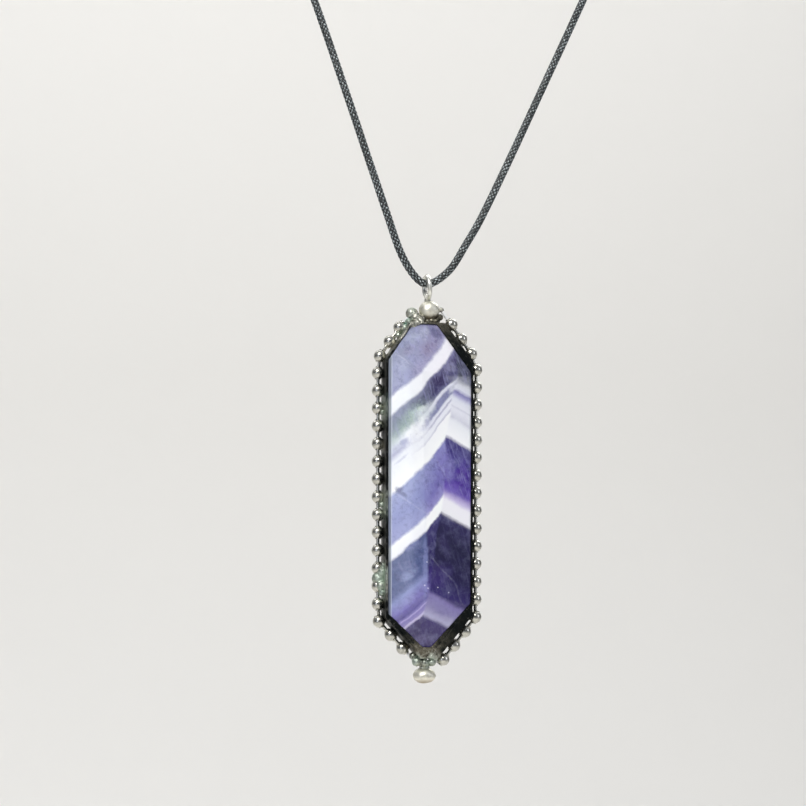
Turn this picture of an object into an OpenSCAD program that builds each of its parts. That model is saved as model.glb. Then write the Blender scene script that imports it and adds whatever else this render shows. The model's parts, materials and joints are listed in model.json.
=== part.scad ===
/* [Crystal] */
// Width of the crystal from side to side
crystal_w = 15.8; // [12:0.1:22]
// Length of the crystal from its upper to its lower end
crystal_l = 62.3; // [50:0.1:80]
// Thickness of the crystal at its front and back ridges
crystal_t = 12; // [10:0.1:16]
// Width of the flat side face that the band is wrapped on
crystal_side_w = 6.4; // [5:0.1:8]
// Width of the small bevel beside each side face
crystal_bevel = 0.5; // [0.2:0.05:1]
// Thickness of the crystal at its blunt ends
crystal_end_t = 4.4; // [3:0.1:6]

/* [Soldered band] */
// Thickness of the foil and solder wrapped round the edge
band_wall = 0.4; // [0.3:0.05:0.8]
// Thickness of the solder that fills out the two right-hand slopes
band_fill = 1.6; // [0.8:0.1:2.2]
// Width of the band across the edge
band_w = 6.6; // [5.5:0.1:8]
// How far the band's rims stand out of the facets of the two points
band_lip = 0.3; // [0.1:0.05:0.6]
// Clearance between the crystal and the metal round it
crystal_gap = 0.05; // [0.03:0.01:0.2]
// Length of the solder cap over the lower point
cap_l = 1.7; // [0.8:0.1:4]

/* [Ball chain] */
// Diameter of a ball of the chain
ball_d = 2.4; // [1.8:0.1:3]
// Distance from one ball to the next
ball_pitch = 3.34; // [3:0.01:4]
// Diameter of the bar that links two balls
bar_d = 0.8; // [0.4:0.05:1.2]
// How deep a ball is sunk into the solder of the band
ball_sink = 0.1; // [0.05:0.01:0.3]
// Least distance along the chain from the last ball to the end of its run
ball_end = 0.85; // [0.7:0.05:1.5]

/* [Solder balls] */
// Width of the ball of solder above the crystal
top_ball_w = 3.95; // [3:0.05:5]
// Height of the ball of solder above the crystal
top_ball_h = 3.6; // [2.8:0.05:3.9]
// Width of the ball of solder below the crystal
bottom_ball_w = 4.3; // [3:0.05:5]
// Height of the ball of solder below the crystal
bottom_ball_h = 2.9; // [2:0.05:3.9]
// Clear height between the band and the upper ball, bridged by solder
top_ball_rise = 0.7; // [0.3:0.1:1.5]
// Clear height between the band and the lower ball, bridged by solder
bottom_ball_drop = 1.8; // [0.8:0.1:2.5]

/* [Hanging ring] */
// Outer diameter of the ring that the cord runs through
ring_d = 5; // [4.6:0.1:6]
// Thickness of the ring's wire
ring_wire = 0.9; // [0.6:0.05:1]
// Turn of the ring about the upright axis, in degrees
ring_turn = 5; // [-10:1:10]
// Lean of the ring to one side, in degrees
ring_lean = -4; // [-6:1:6]

/* [Cord] */
// Diameter of the braided cord
cord_d = 1.5; // [1:0.1:1.8]
// Clearance between the cord and the ring that hangs on it
cord_gap = 0.1; // [0.06:0.01:0.3]

/* [Clasp] */
// Length of the plain barrel clasp at the nape
clasp_l = 12; // [10:0.5:16]
// Diameter of the clasp
clasp_d = 4; // [3:0.1:5]
// Diameter of the clasp's end faces, where the cord goes in
clasp_end_d = 2.4; // [2:0.1:3]

/* [Hidden] */
$fn = 48;

// The pendant hangs from this point of the cord, measured from the middle of the neck
hang = [-12.5, -70, -132];

// Heights below the point where it hangs, worked out from the ring down
ring_r = (ring_d - ring_wire) / 2;
ring_z = -(ring_r - ring_wire / 2 - cord_d / 2 - cord_gap);
ring_bottom = ring_z - ring_d / 2;
top_ball_x = 0.4;
top_ball_z = ring_bottom - top_ball_h / 2 - 0.1;
crystal_top = top_ball_z - top_ball_h / 2 - top_ball_rise - band_wall;
crystal_bottom = crystal_top - crystal_l;
bottom_ball_x = -0.6;
bottom_ball_z = crystal_bottom - band_wall - bottom_ball_drop - bottom_ball_h / 2;

half_w = crystal_w / 2;
half_t = crystal_t / 2;
side_half = crystal_side_w / 2;

// Corners of the crystal's side outline, clockwise from the upper left.
// Columns: x as a share of half the width, depth below the top as a share of the length.
outline_shares = [
    [-0.405, 0], [0.2, 0], [1, 0.149], [0.965, 0.846],
    [0.01, 1], [-0.18, 1], [-1, 0.883], [-1, 0.112],
];
outline = [for (s = outline_shares) [s[0] * half_w, crystal_top - s[1] * crystal_l]];
last = len(outline) - 1;

// The solder's thickness on each side of the outline: upper end, upper right slope, right side,
// lower right slope, lower end, lower left slope, left side, upper left slope.
walls = [band_wall, band_fill, band_wall, band_fill, band_wall, band_wall, band_wall, band_wall];

// Corners where the facets meet on the front of the crystal.
// Columns: x as a share of half the width, depth below the top as a share of the length.
ridge_top = [-0.25, 0.149];
ridge_bottom = [-0.135, 0.809];
upper_left = [-0.86, 0.082];
upper_right = [0.95, 0.148];
lower_left = [-0.95, 0.884];
lower_right = [0.9, 0.848];
upper_end = [-0.015, 0];
lower_end = [-0.095, 0.985];

function unit(v) = v / norm(v);
function side_normal(p, q) = let (d = unit(q - p)) [-d[1], d[0]];

// Corner i of the outline when each side is moved out by its own distance
function moved_corner(i, far) =
    let (
        before = i == 0 ? last : i - 1,
        after = i == last ? 0 : i + 1,
        m = side_normal(outline[before], outline[i]),
        n = side_normal(outline[i], outline[after]),
        c = m * outline[i] + far[before],
        d = n * outline[i] + far[i],
        det = m[0] * n[1] - m[1] * n[0]
    )
    [(c * n[1] - d * m[1]) / det, (m[0] * d - n[0] * c) / det];
function grown(far) = [for (i = [0:last]) moved_corner(i, far)];
function evenly(d) = [for (i = [0:last]) d];

// Depth of the front facets at x, where the crystal is a prism
function front_y(x) =
    let (
        ridge_x = ridge_top[0] * half_w,
        edge_x = (x < ridge_x ? -1 : 1) * (half_w - crystal_bevel),
        edge_y = side_half + crystal_bevel
    )
    -(half_t + (edge_y - half_t) * (x - ridge_x) / (edge_x - ridge_x));
function on_front(s) =
    let (x = s[0] * half_w)
    [x, front_y(x), crystal_top - s[1] * crystal_l];
function on_end(s) =
    [s[0] * half_w, -crystal_end_t / 2, crystal_top - s[1] * crystal_l];

prism_edge_y = -side_half - crystal_bevel;
mid_z = crystal_top - crystal_l / 2;
left_edge = [-half_w + crystal_bevel, prism_edge_y, mid_z];
right_edge = [half_w - crystal_bevel, prism_edge_y, mid_z];

// The facets on the front, each as three points of its plane: the two broad ones beside the
// ridge, and the bevels, which are as wide all the way down
broad_facets = [
    [on_front(ridge_top), on_front(ridge_bottom), left_edge],
    [on_front(ridge_top), on_front(ridge_bottom), right_edge],
];
function facet_y(facet, x, z) =
    let (a = facet[0], n = cross(facet[1] - a, facet[2] - a))
    a[1] - (n[0] * (x - a[0]) + n[2] * (z - a[2])) / n[1];
function bevel_facet(side, broad) =
    let (x = side * (half_w - crystal_bevel))
    [
        [x, facet_y(broad, x, crystal_top), crystal_top],
        [x, facet_y(broad, x, crystal_bottom), crystal_bottom],
        [side * half_w, -side_half, mid_z],
    ];
prism_facets = concat(
    broad_facets,
    [bevel_facet(-1, broad_facets[0]), bevel_facet(1, broad_facets[1])]
);
point_facets = [
    [on_front(ridge_top), on_front(upper_left), on_end(upper_end)],
    [on_front(ridge_top), on_front(upper_right), on_end(upper_end)],
    [on_front(ridge_bottom), on_front(lower_left), on_end(lower_end)],
    [on_front(ridge_bottom), on_front(lower_right), on_end(lower_end)],
];

// Everything past a facet's plane, moved out by some distance
module beyond(facet, out) {
    reach = 2 * crystal_l;
    u = unit(facet[1] - facet[0]);
    w = unit(cross(facet[1] - facet[0], facet[2] - facet[0]));
    n = w[1] < 0 ? w : -w;
    v = cross(n, u);
    p = facet[0] + out * n;
    multmatrix([
        [u[0], v[0], n[0], p[0]], [u[1], v[1], n[1], p[1]],
        [u[2], v[2], n[2], p[2]], [0, 0, 0, 1],
    ])
        translate([-reach, -reach, 0]) cube([2 * reach, 2 * reach, reach]);
}

module upright(thick) {
    rotate([90, 0, 0]) linear_extrude(thick, center = true) children();
}

// The outline as a slab, with some of its facets cut on the front and the back
module cut_slab(far, thick, facets, out) {
    difference() {
        upright(thick) polygon(grown(far));
        for (f = facets) {
            beyond(f, out);
            mirror([0, 1, 0]) beyond(f, out);
        }
    }
}

module crystal_form(out) {
    cut_slab(evenly(out), crystal_t + 2 * out, concat(prism_facets, point_facets), out);
}

module crystal() {
    color("mediumpurple") translate(hang) crystal_form(0);
}

module band() {
    difference() {
        cut_slab(walls, band_w, point_facets, band_lip);
        crystal_form(crystal_gap);
    }
}

// Solder over the lower point, closed at the front and the back
module lower_cap() {
    cap_wall = band_wall;
    difference() {
        intersection() {
            cut_slab(walls, crystal_t, point_facets, cap_wall);
            translate([-half_w, -half_t, crystal_bottom - band_wall])
                cube([crystal_w, crystal_t, band_wall + cap_l]);
        }
        crystal_form(crystal_gap);
    }
}

// A slightly flattened ball of solder
module flat_ball(w, h) {
    round_r = h / 2;
    side = w / 2 - round_r;
    rotate_extrude() {
        intersection() {
            union() {
                translate([side, 0]) circle(round_r);
                translate([0, -round_r]) square([side, h]);
            }
            translate([0, -h]) square([w, 2 * h]);
        }
    }
}

// Lumps of solder beside the two balls.
// Columns: x, y and z from the ball's middle and the lump's radius, as shares of half the ball's width.
top_lumps = [
    [-1.66, 0.05, -0.3, 0.62], [-1.45, -0.5, -0.85, 0.42], [-1.0, -0.72, -1.1, 0.4],
    [-1.2, 0.7, -1.0, 0.45], [1.2, 0, 0.08, 0.26], [-0.15, 0, 0.92, 0.36],
];
bottom_lumps = [
    [-0.72, -0.3, 1.2, 0.4], [-0.05, -0.5, 1.12, 0.34], [0.6, -0.35, 1.15, 0.36],
    [0, 0.45, 1.05, 0.45],
];

// The turns here and below keep the seams of the round solids apart, so that they fuse cleanly
module solder_ball(x, z, w, h, lumps) {
    translate([x, 0, z]) {
        rotate(75) flat_ball(w, h);
        for (s = lumps)
            translate([s[0], s[1], s[2]] * w / 2) rotate(115) sphere(s[3] * w / 2);
    }
}

// Short stem of solder from a ball to the band
module stem(x, z, long, d) {
    translate([x, 0, z]) rotate(35) cylinder(h = long, d = d);
}

module top_solder() {
    joint = 0.3;
    difference() {
        union() {
            solder_ball(top_ball_x, top_ball_z, top_ball_w, top_ball_h, top_lumps);
            stem(top_ball_x, crystal_top + band_wall - joint, top_ball_rise + 3 * joint,
                top_ball_w * 0.6);
        }
        crystal_form(crystal_gap);
    }
}

module bottom_solder() {
    joint = 0.3;
    solder_ball(bottom_ball_x, bottom_ball_z, bottom_ball_w, bottom_ball_h, bottom_lumps);
    stem(bottom_ball_x, bottom_ball_z + bottom_ball_h / 2 - 2 * joint,
        bottom_ball_drop + 3 * joint, bottom_ball_w * 0.4);
}

module hanging_ring() {
    translate([0, 0, ring_z])
        rotate([0, ring_lean, ring_turn])
            rotate([0, 90, 0])
                rotate(70)
                    rotate_extrude() translate([ring_r, 0]) circle(d = ring_wire, $fn = 24);
}

// The chain lies along the band, its balls a little sunk into the solder
chain_far = [for (w = walls) w + ball_d / 2 - ball_sink];
chain_corners = grown(chain_far);
left_way = [chain_corners[0], chain_corners[7], chain_corners[6], chain_corners[5]];
right_way = [chain_corners[1], chain_corners[2], chain_corners[3], chain_corners[4]];
left_start = 2.3;
right_start = 1.5;

// The point at distance s along a way, counted from its leg i
function along(way, s, i = 0) =
    let (leg = norm(way[i + 1] - way[i]))
    s <= leg || i == len(way) - 2
        ? way[i] + (way[i + 1] - way[i]) * s / leg
        : along(way, s - leg, i + 1);
function way_length(way) = norm(way[1] - way[0]) + norm(way[2] - way[1]) + norm(way[3] - way[2]);
// As many balls as the run has room for
function ball_places(way, start) = [
    for (s = [start:ball_pitch:way_length(way) - ball_end])
        let (p = along(way, s)) [p[0], 0, p[1]]
];

// A link bar between two balls, which ends inside both of them
module bar(p, q) {
    d = q - p;
    inside = ball_d * 0.2;
    translate(p)
        rotate([0, 90 - atan2(d[2], d[0]), 0])
            rotate([0, 0, 30])
                translate([0, 0, inside])
                    cylinder(h = norm(d) - 2 * inside, d = bar_d, $fn = 24);
}

// A run of balls and bars, whose last bars go into the solder at its two ends. The turn points
// the seams of the balls away from the band.
module chain_run(balls, first, end, turn) {
    for (p = balls) translate(p) rotate([90, turn, 0]) sphere(d = ball_d);
    stops = concat([first], balls, [end]);
    for (i = [0:len(stops) - 2]) bar(stops[i], stops[i + 1]);
}

function lump_place(x, z, w, lump) = [x + lump[0] * w / 2, 0, z + lump[2] * w / 2];

module ball_chain() {
    chain_run(
        ball_places(left_way, left_start),
        lump_place(top_ball_x, top_ball_z, top_ball_w, top_lumps[0]),
        lump_place(bottom_ball_x, bottom_ball_z, bottom_ball_w, bottom_lumps[0]),
        180
    );
    chain_run(
        ball_places(right_way, right_start),
        lump_place(top_ball_x, top_ball_z, top_ball_w, top_lumps[4]),
        lump_place(bottom_ball_x, bottom_ball_z, bottom_ball_w, bottom_lumps[2]),
        0
    );
}

module soldered_setting() {
    color("silver") translate(hang) {
        band();
        lower_cap();
        ball_chain();
        top_solder();
        bottom_solder();
        hanging_ring();
    }
}

// The cord's route, from the clasp round the left of the neck, down through the ring and back
// up the right of the neck to the clasp. Places in mm from the middle of the neck.
clasp_y = 51;
clasp_z = 18;
nape_route = [[-14, 50, 17.5], [-28, 45.5, 16], [-41, 36, 12.5], [-50, 22.5, 8], [-55, 8, 3]];
left_side = [-56, 0, 0];
right_side = [56, 0, 0];
// Places in mm from the point where the pendant hangs
front_route = [
    [-42.5, 58, 126], [-38.5, 41, 112], [-31, 24.5, 90], [-25.5, 16, 72.5], [-20.5, 10, 56.5],
    [-15, 5.5, 38], [-11, 3.5, 25], [-7.5, 1.5, 13.5], [-5.4, 0.8, 7], [-3.6, 0.4, 3.2],
    [-1.6, 0, 0.6], [0, 0, 0], [1.9, 0, 0.6], [4.8, 0.4, 3.2], [7.5, 0.8, 7.5],
    [11, 1.5, 13.5], [17, 3.5, 25.5], [24, 6, 40], [33, 10, 58.5], [40.5, 16, 74],
    [48, 24.5, 90], [59, 41, 112], [66.5, 58, 126],
];
route = concat(
    [[-clasp_l / 2, clasp_y, clasp_z]],
    nape_route,
    [left_side],
    [for (p = front_route) hang + p],
    [right_side],
    [for (i = [len(nape_route) - 1:-1:0]) [-nape_route[i][0], nape_route[i][1], nape_route[i][2]]],
    [[clasp_l / 2, clasp_y, clasp_z]]
);
join_left = len(nape_route) + 1;
join_right = len(route) - 1 - join_left;

// A smooth curve through the route's points, with a ring at least every cord_step
cord_step = 9;
cord_sides = 8;
function route_point(i) = route[min(max(i, 0), len(route) - 1)];
function curve_point(i, t) =
    let (a = route_point(i - 1), b = route[i], c = route[i + 1], d = route_point(i + 2))
    b + 0.5 * t * (c - a + t * (2 * a - 5 * b + 4 * c - d + t * (3 * (b - c) + d - a)));
function curve_slope(i, t) =
    let (a = route_point(i - 1), b = route[i], c = route[i + 1], d = route_point(i + 2))
    0.5 * (c - a + 2 * t * (2 * a - 5 * b + 4 * c - d) + 3 * t * t * (3 * (b - c) + d - a));
function leg_steps(i) = max(1, ceil(norm(route[i + 1] - route[i]) / cord_step));
stations = [
    for (i = [0:len(route) - 2]) for (k = [0:leg_steps(i) - 1]) [i, k / leg_steps(i)],
    [len(route) - 2, 1],
];
centres = [for (s = stations) curve_point(s[0], s[1])];
slopes = [for (s = stations) unit(curve_slope(s[0], s[1]))];
function level(v, slope) = unit(v - (v * slope) * slope);
// One direction across the cord at each ring, carried along without twist
across = [
    for (i = 0, v = level([0, 0, 1], slopes[0]); i < len(slopes);
        i = i + 1, v = i < len(slopes) ? level(v, slopes[i]) : v) v
];
function ring_points(i) = [
    for (k = [0:cord_sides - 1])
        centres[i] + cord_d / 2 * (
            cos(360 * k / cord_sides) * across[i]
            + sin(360 * k / cord_sides) * cross(slopes[i], across[i])
        )
];
function station_of(leg) = [for (i = [0:len(stations) - 1]) if (stations[i] == [leg, 0]) i][0];

module tube(from, to) {
    rings = to - from + 1;
    n = cord_sides;
    polyhedron(
        points = [for (i = [from:to]) each ring_points(i)],
        faces = concat(
            [[for (k = [0:n - 1]) n - 1 - k]],
            [for (i = [0:rings - 2]) for (k = [0:n - 1])
                [i * n + k, i * n + (k + 1) % n, (i + 1) * n + (k + 1) % n, (i + 1) * n + k]],
            [[for (k = [0:n - 1]) (rings - 1) * n + k]]
        ),
        convexity = 10
    );
}

module neck_cord_left() {
    color("darkslategray") tube(0, station_of(join_left));
}

module front_cord() {
    color("darkslategray") tube(station_of(join_left), station_of(join_right));
}

module neck_cord_right() {
    color("darkslategray") tube(station_of(join_right), len(stations) - 1);
}

// A barrel along the cord, narrowed to its end faces
module clasp() {
    taper = (clasp_d - clasp_end_d) / 2;
    color("silver")
        translate([0, clasp_y, clasp_z])
            rotate([0, 90, 0])
                rotate_extrude() polygon([
                    [0, -clasp_l / 2], [clasp_end_d / 2, -clasp_l / 2],
                    [clasp_d / 2, -clasp_l / 2 + 2 * taper], [clasp_d / 2, clasp_l / 2 - 2 * taper],
                    [clasp_end_d / 2, clasp_l / 2], [0, clasp_l / 2],
                ]);
}

crystal();
soldered_setting();
front_cord();
neck_cord_left();
neck_cord_right();
clasp();
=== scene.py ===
"""Looks for the crystal point pendant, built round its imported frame."""

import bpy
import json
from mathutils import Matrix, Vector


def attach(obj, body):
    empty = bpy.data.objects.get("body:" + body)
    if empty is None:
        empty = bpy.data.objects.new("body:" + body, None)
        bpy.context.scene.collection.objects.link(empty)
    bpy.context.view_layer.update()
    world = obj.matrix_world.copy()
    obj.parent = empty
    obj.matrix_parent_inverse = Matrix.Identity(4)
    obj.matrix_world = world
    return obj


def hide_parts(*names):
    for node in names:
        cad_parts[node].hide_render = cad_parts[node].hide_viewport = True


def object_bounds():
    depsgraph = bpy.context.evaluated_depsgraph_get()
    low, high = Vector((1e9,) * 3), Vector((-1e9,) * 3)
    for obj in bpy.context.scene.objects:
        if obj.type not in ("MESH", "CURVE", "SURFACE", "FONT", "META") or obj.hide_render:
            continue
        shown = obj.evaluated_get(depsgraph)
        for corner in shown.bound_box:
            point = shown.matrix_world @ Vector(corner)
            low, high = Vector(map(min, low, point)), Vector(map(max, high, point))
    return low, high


bl_info = {
    "name": "Crystal Point Pendant",
    "version": (1, 0, 0),
    "blender": (4, 5, 0),
    "location": "3D View > Sidebar > Pendant",
    "description": "Builds a soldered crystal point with its ball chain on a waxed braided cord",
    "category": "Object",
}

import json
import math
from functools import partial

import bmesh
import bpy
from bpy.props import FloatProperty, IntProperty, PointerProperty, StringProperty
from bpy.types import Operator, Panel, PropertyGroup
from mathutils import Euler, Matrix, Vector, noise

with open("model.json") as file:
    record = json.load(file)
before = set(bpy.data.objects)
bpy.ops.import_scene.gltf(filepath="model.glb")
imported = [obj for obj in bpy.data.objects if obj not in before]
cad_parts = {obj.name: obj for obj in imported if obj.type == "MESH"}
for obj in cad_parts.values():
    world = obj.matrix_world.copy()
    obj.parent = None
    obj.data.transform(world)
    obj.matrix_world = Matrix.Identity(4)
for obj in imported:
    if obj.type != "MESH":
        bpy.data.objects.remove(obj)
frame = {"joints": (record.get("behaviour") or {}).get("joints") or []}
cad_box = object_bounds()

MM = 0.001
# The point of the cord that the pendant hangs from
HANG = Vector(frame["joints"][0]["pos_m"])

# Sizes that follow the part, in mm

CRYSTAL_W, CRYSTAL_L, CRYSTAL_T = 15.8, 62.3, 12.0
SIDE_W, BEVEL, END_T = 6.4, 0.5, 4.4
CRYSTAL_TOP = -8.05
CRYSTAL_BOTTOM = CRYSTAL_TOP - CRYSTAL_L
CRYSTAL_GAP = 0.05
BAND_WALL, BAND_FILL, BAND_W, BAND_LIP = 0.4, 1.6, 6.6, 0.3
BALL_SINK = 0.1
BALL_D, BALL_PITCH, BALL_END = 2.4, 3.34, 0.85
LEFT_START, RIGHT_START = 2.3, 1.5
TOP_BALL = {"x": 0.4, "z": -5.15, "w": 3.95, "h": 3.6}
BOTTOM_BALL = {"x": -0.6, "z": -74.0, "w": 4.3, "h": 2.9}
RING_D, RING_WIRE, RING_Z = 5.0, 0.9, -1.2 + 0.45

HALF_W = CRYSTAL_W / 2
# Where the front ridge lies between the sides, as a share of half the width
RIDGE_X = -0.25
# Corners of the stone's side outline: x as a share of half the width, depth as a share of the length
OUTLINE = [
    Vector((x * HALF_W, CRYSTAL_TOP - z * CRYSTAL_L))
    for x, z in [
        (-0.405, 0), (0.2, 0), (1, 0.149), (0.965, 0.846),
        (0.01, 1), (-0.18, 1), (-1, 0.883), (-1, 0.112),
    ]
]
# Solder on each side of the outline, from the upper end round by the right
WALLS = [BAND_WALL, BAND_FILL, BAND_WALL, BAND_FILL, BAND_WALL, BAND_WALL, BAND_WALL, BAND_WALL]


def from_hang(x, y, z):
    """A place in mm from the hanging point, in the row's metres."""
    return HANG + Vector((x, y, z)) * MM


def grown(walls):
    """The outline's corners when each side moves out by its own wall."""
    corners = []
    count = len(OUTLINE)
    for i in range(count):
        before, here, after = OUTLINE[i - 1], OUTLINE[i], OUTLINE[(i + 1) % count]
        d, e = (here - before).normalized(), (after - here).normalized()
        m, n = Vector((-d.y, d.x)), Vector((-e.y, e.x))
        c, k = m.dot(here) + walls[i - 1], n.dot(here) + walls[i]
        det = m.x * n.y - m.y * n.x
        corners.append(Vector(((c * n.y - k * m.y) / det, (m.x * k - n.x * c) / det)))
    return corners


def prism_depth(x):
    """The front's depth at a place across the stone, between its ridge and its sides."""
    ridge_x = RIDGE_X * HALF_W
    edge_x = math.copysign(HALF_W - BEVEL, x - ridge_x)
    edge_y = SIDE_W / 2 + BEVEL
    return -(CRYSTAL_T / 2 + (edge_y - CRYSTAL_T / 2) * (x - ridge_x) / (edge_x - ridge_x))


def on_front(share_x, share_z):
    x = share_x * HALF_W
    return Vector((x, prism_depth(x), CRYSTAL_TOP - share_z * CRYSTAL_L))


def on_end(share_x, share_z):
    return Vector((share_x * HALF_W, -END_T / 2, CRYSTAL_TOP - share_z * CRYSTAL_L))


def facet_plane(a, b, c):
    """Normal out of the front and distance of the plane through three points."""
    n = (b - a).cross(c - a).normalized()
    n = -n if n.y > 0 else n
    return n, n.dot(a)


RIDGE_TOP, RIDGE_BOTTOM = on_front(RIDGE_X, 0.149), on_front(-0.135, 0.809)
UPPER_END, LOWER_END = on_end(-0.015, 0), on_end(-0.095, 0.985)
POINT_FACETS = [
    facet_plane(RIDGE_TOP, on_front(-0.86, 0.082), UPPER_END),
    facet_plane(RIDGE_TOP, on_front(0.95, 0.148), UPPER_END),
    facet_plane(RIDGE_BOTTOM, on_front(-0.95, 0.884), LOWER_END),
    facet_plane(RIDGE_BOTTOM, on_front(0.9, 0.848), LOWER_END),
]
MIDDLE_Z = CRYSTAL_TOP - CRYSTAL_L / 2
BROAD_FACETS = [
    facet_plane(RIDGE_TOP, RIDGE_BOTTOM, Vector((side * (HALF_W - BEVEL), -SIDE_W / 2 - BEVEL, MIDDLE_Z)))
    for side in (-1, 1)
]


def bevel_facet(side, broad):
    """The narrow facet beside a broad one, as wide all the way down."""
    (n, d), x = broad, side * (HALF_W - BEVEL)
    upper, lower = [
        Vector((x, (d - n.x * x - n.z * z) / n.y, z)) for z in (CRYSTAL_TOP, CRYSTAL_BOTTOM)
    ]
    return facet_plane(upper, lower, Vector((side * HALF_W, -SIDE_W / 2, MIDDLE_Z)))


PRISM_FACETS = BROAD_FACETS + [bevel_facet(-1, BROAD_FACETS[0]), bevel_facet(1, BROAD_FACETS[1])]


def depth_at(x, z, facets, out=0.0):
    """Half the thickness at a place of the outline under some facets moved out."""
    return min(-(d + out - n.x * x - n.z * z) / n.y for n, d in facets)


# The cord's route, as in the part

CLASP_L, CLASP_D, CLASP_END_D = 12.0, 4.0, 2.4
CLASP_Y, CLASP_Z = 51.0, 18.0
NAPE_ROUTE = [(-14, 50, 17.5), (-28, 45.5, 16), (-41, 36, 12.5), (-50, 22.5, 8), (-55, 8, 3)]
NECK_SIDE = (56, 0, 0)
FRONT_ROUTE = [
    (-42.5, 58, 126), (-38.5, 41, 112), (-31, 24.5, 90), (-25.5, 16, 72.5), (-20.5, 10, 56.5),
    (-15, 5.5, 38), (-11, 3.5, 25), (-7.5, 1.5, 13.5), (-5.4, 0.8, 7), (-3.6, 0.4, 3.2),
    (-1.6, 0, 0.6), (0, 0, 0), (1.9, 0, 0.6), (4.8, 0.4, 3.2), (7.5, 0.8, 7.5),
    (11, 1.5, 13.5), (17, 3.5, 25.5), (24, 6, 40), (33, 10, 58.5), (40.5, 16, 74),
    (48, 24.5, 90), (59, 41, 112), (66.5, 58, 126),
]


def cord_route():
    """The whole loop's points in metres, with the places where its three stretches meet."""
    left = [Vector(p) * MM for p in [(-CLASP_L / 2, CLASP_Y, CLASP_Z), *NAPE_ROUTE]]
    right = [Vector((-p.x, p.y, p.z)) for p in reversed(left)]
    side = Vector(NECK_SIDE) * MM
    front = [from_hang(*p) for p in FRONT_ROUTE]
    route = [*left, Vector((-side.x, side.y, side.z)), *front, side, *right]
    return route, len(left), len(left) + len(front) + 1


def follow(route, steps):
    """Points and slopes of a smooth curve through the route, with the leg that each lies on."""
    points, slopes, legs = [], [], []
    for i in range(len(route) - 1):
        a, b = route[max(i - 1, 0)], route[i]
        c, d = route[i + 1], route[min(i + 2, len(route) - 1)]
        for k in range(steps + (i == len(route) - 2)):
            t = k / steps
            points.append(
                b + 0.5 * t * (c - a + t * (2 * a - 5 * b + 4 * c - d + t * (3 * (b - c) + d - a)))
            )
            slope = c - a + 2 * t * (2 * a - 5 * b + 4 * c - d) + 3 * t * t * (3 * (b - c) + d - a)
            slopes.append(slope.normalized())
            legs.append(i + t)
    return points, slopes, legs


# Settings


def linear(code):
    """A hex colour as the linear values that the shaders use."""
    channels = [int(code[i : i + 2], 16) / 255 for i in (1, 3, 5)]
    channels = [c / 12.92 if c <= 0.04045 else ((c + 0.055) / 1.055) ** 2.4 for c in channels]
    return (*channels, 1.0)


def colour(name, code, text):
    return StringProperty(name=name, description=text, default=code)


def distance(name, size, text):
    return FloatProperty(name=name, description=text, default=size * MM, unit="LENGTH")


class PENDANT_PG_stage(PropertyGroup):
    drop: FloatProperty(
        name="Floor drop", description="Height from the floor to the pendant's lowest point",
        default=0.5, min=0.05, unit="LENGTH",
    )
    floor: colour("Floor", "#E9E7E3", "Colour of the floor and the wall it sweeps up to")
    key_power: FloatProperty(
        name="Key light", description="Power of the large soft light", default=15.0, min=0.0, unit="POWER"
    )


class PENDANT_PG_cord(PropertyGroup):
    diameter: distance("Diameter", 1.5, "Diameter of the braided cord")
    strands: IntProperty(
        name="Strands", description="Strands that wind each way", default=6, min=3, max=8
    )
    lay: distance("Lay", 0.95, "Length of cord between two strands of one way")
    relief: distance("Relief", 0.2, "Height of a strand over the gaps")
    cotton: colour("Cotton", "#0D1114", "Colour of the dyed cotton")
    # Also the colour of the painted glints on the strands' crowns
    wax: colour("Wax", "#D9E4E7", "Colour of the wax left on the strands")


class PENDANT_PG_crystal(PropertyGroup):
    edge: distance("Edge rounding", 0.16, "Width of the worn edges")
    cloud: FloatProperty(
        name="Clouding", description="Strength of the clouds in the coloured bands",
        default=0.34, min=0.0, max=1.0, subtype="FACTOR",
    )
    wander: FloatProperty(
        name="Waviness", description="How far the bands wander, in mm", default=0.9, min=0.0
    )


class PENDANT_PG_chain(PropertyGroup):
    ball: distance("Ball", BALL_D, "Diameter of a ball")
    pitch: distance("Pitch", BALL_PITCH, "Distance from ball to ball")
    bar: distance("Bar", 0.62, "Diameter of a link bar")
    nickel: colour("Nickel", "#CBC9C0", "Colour of the plated steel")


class PENDANT_PG_solder(PropertyGroup):
    dark: colour("Patina", "#1B1E1E", "Colour of the blackened solder")
    bright: colour("Solder", "#DAD8CC", "Colour of the bare solder")
    mint: colour("Verdigris", "#A6BDB0", "Colour of the copper salts in the hollows")
    grain: distance("Roughness", 0.05, "Height of the solder's ripples")


# Shared helpers


def add_node(tree, kind, inputs=(), stops=(), points=(), **settings):
    """
    Adds a node with its settings, its values or links, and a ramp's stops or a curve's points.

    A shader node's kind goes without its prefix. The inputs are a list in the order of the
    sockets in use, or a dictionary by socket name. A text among them is a hex colour.
    """
    node = tree.nodes.new(kind if "Node" in kind else "ShaderNode" + kind)
    for name, value in settings.items():
        setattr(node, name, value)
    sockets = [s for s in node.inputs if s.enabled]
    if isinstance(inputs, dict):
        sockets = [next(s for s in sockets if s.name == name) for name in inputs]
        inputs = inputs.values()
    for socket, value in zip(sockets, inputs):
        if isinstance(value, bpy.types.Node):
            value = next(s for s in value.outputs if s.enabled)
        if isinstance(value, bpy.types.NodeSocket):
            tree.links.new(value, socket)
        else:
            socket.default_value = linear(value) if isinstance(value, str) else value
    if stops:
        elements = node.color_ramp.elements
        while len(elements) > 1:
            elements.remove(elements[-1])
        elements[0].position, elements[0].color = stops[0]
        for place, value in stops[1:]:
            elements.new(place).color = value
    if points:
        curve = node.mapping.curves[0]
        curve.points[0].location, curve.points[-1].location = points[0], points[-1]
        for place in points[1:-1]:
            curve.points.new(*place)
        for point in curve.points:
            point.handle_type = "VECTOR"
        node.mapping.update()
    return node


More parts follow.
